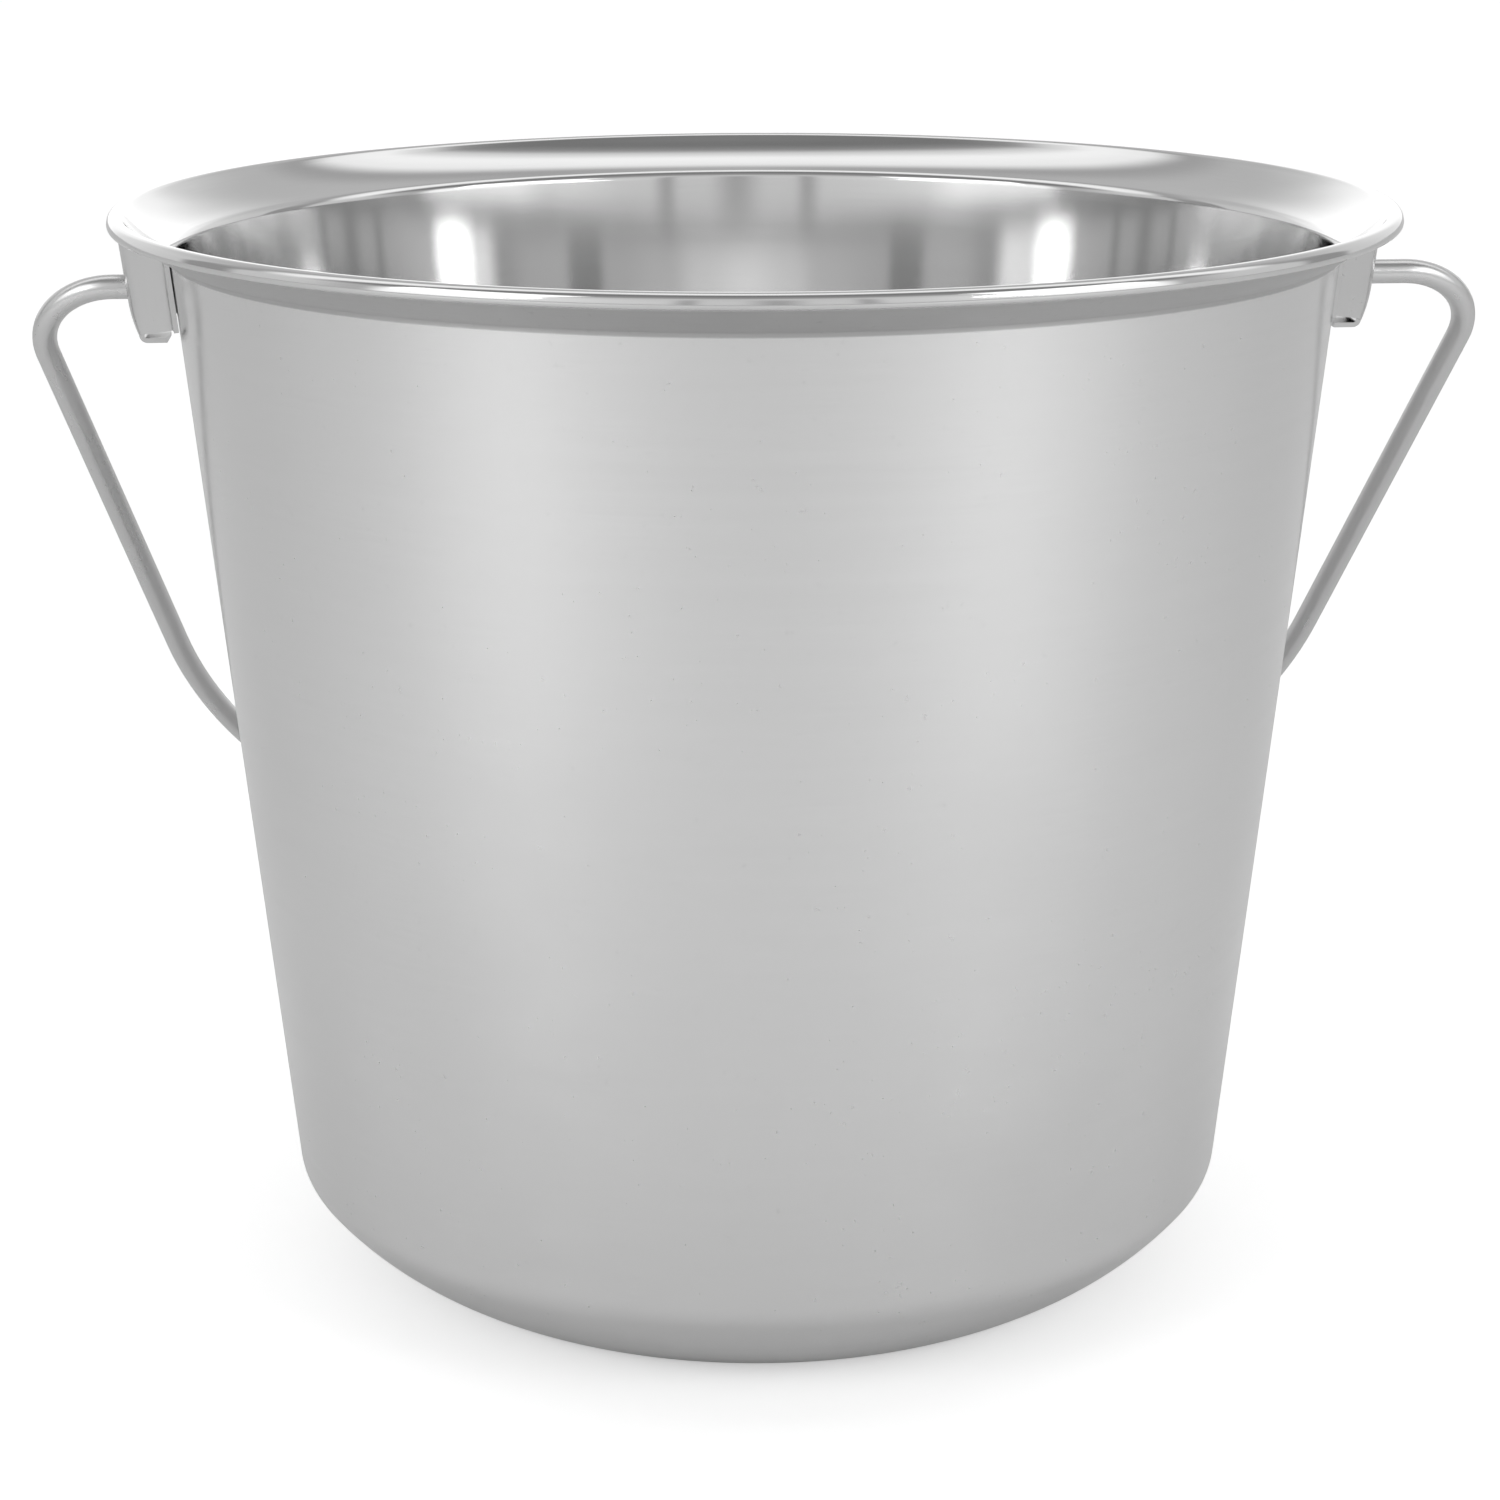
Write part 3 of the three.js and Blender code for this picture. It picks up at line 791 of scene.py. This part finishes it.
def level_ramp(tree, value, stops):
    """Brightness from a value between 0 and 1."""
    ramp = tree.nodes.new("ShaderNodeValToRGB")
    ramp.color_ramp.interpolation = "EASE"
    elements = ramp.color_ramp.elements
    for element, (spot, level) in zip((elements[0], elements[-1]), (stops[0], stops[-1])):
        element.position = spot
        element.color = (level, level, level, 1)
    for spot, level in stops[1:-1]:
        elements.new(spot).color = (level, level, level, 1)
    tree.links.new(value, ramp.inputs["Fac"])
    return ramp.outputs["Color"]


def studio_world():
    """A pale room: a soft panel over the pail, darker ceiling beside it, and screens all round."""
    world = bpy.data.worlds.new("studio")
    world.use_nodes = True
    tree = world.node_tree
    background = next(node for node in tree.nodes if node.type == "BACKGROUND")
    direction = tree.nodes.new("ShaderNodeTexCoord").outputs["Generated"]
    split = tree.nodes.new("ShaderNodeSeparateXYZ")
    tree.links.new(direction, split.inputs[0])
    across, away, rise = (split.outputs[label] for label in "XYZ")
    toward = number_node(tree, "MULTIPLY", away, -1)

    # 0 in front at floor level, a half straight up, 1 behind
    over = number_node(tree, "DIVIDE", number_node(tree, "ARCTAN2", rise, toward), math.pi)
    ceiling = level_ramp(tree, over, CEILING)
    # 0 towards the camera, 1 straight behind, alike on both sides
    sideways = number_node(tree, "ABSOLUTE", number_node(tree, "ARCTAN2", across, toward), 0)
    stops = [(degrees / 180, level) for degrees, level in SCREENS]
    screens = level_ramp(tree, number_node(tree, "DIVIDE", sideways, math.pi), stops)

    mix = tree.nodes.new("ShaderNodeMix")
    mix.data_type = "RGBA"
    tree.links.new(level_ramp(tree, rise, SCREEN_TOPS), mix.inputs["Factor"])
    tree.links.new(screens, mix.inputs["A"])
    tree.links.new(ceiling, mix.inputs["B"])
    tree.links.new(mix.outputs["Result"], background.inputs["Color"])
    background.inputs["Strength"].default_value = 1
    bpy.context.scene.world = world


def camera():
    lens = bpy.data.cameras.new("camera")
    lens.lens = 85.2
    lens.sensor_width = 36
    lens.clip_end = 100
    eye = bpy.data.objects.new("camera", lens)
    around, distance, height = math.radians(3.84), 0.8638, 0.3725
    down, yaw, roll = math.radians(15.79), math.radians(-0.101), math.radians(-0.16)
    eye.matrix_world = (
        Matrix.Translation((-distance * math.sin(around), -distance * math.cos(around), height))
        @ Matrix.Rotation(-around - yaw, 4, "Z")
        @ Matrix.Rotation(QUARTER - down, 4, "X")
        @ Matrix.Rotation(roll, 4, "Z")
    )
    bpy.context.scene.collection.objects.link(eye)
    bpy.context.scene.camera = eye


pale_floor()
studio_world()
for light in LIGHTS:
    soft_light(*light)
camera()
bpy.context.scene.view_settings.view_transform = "Standard"
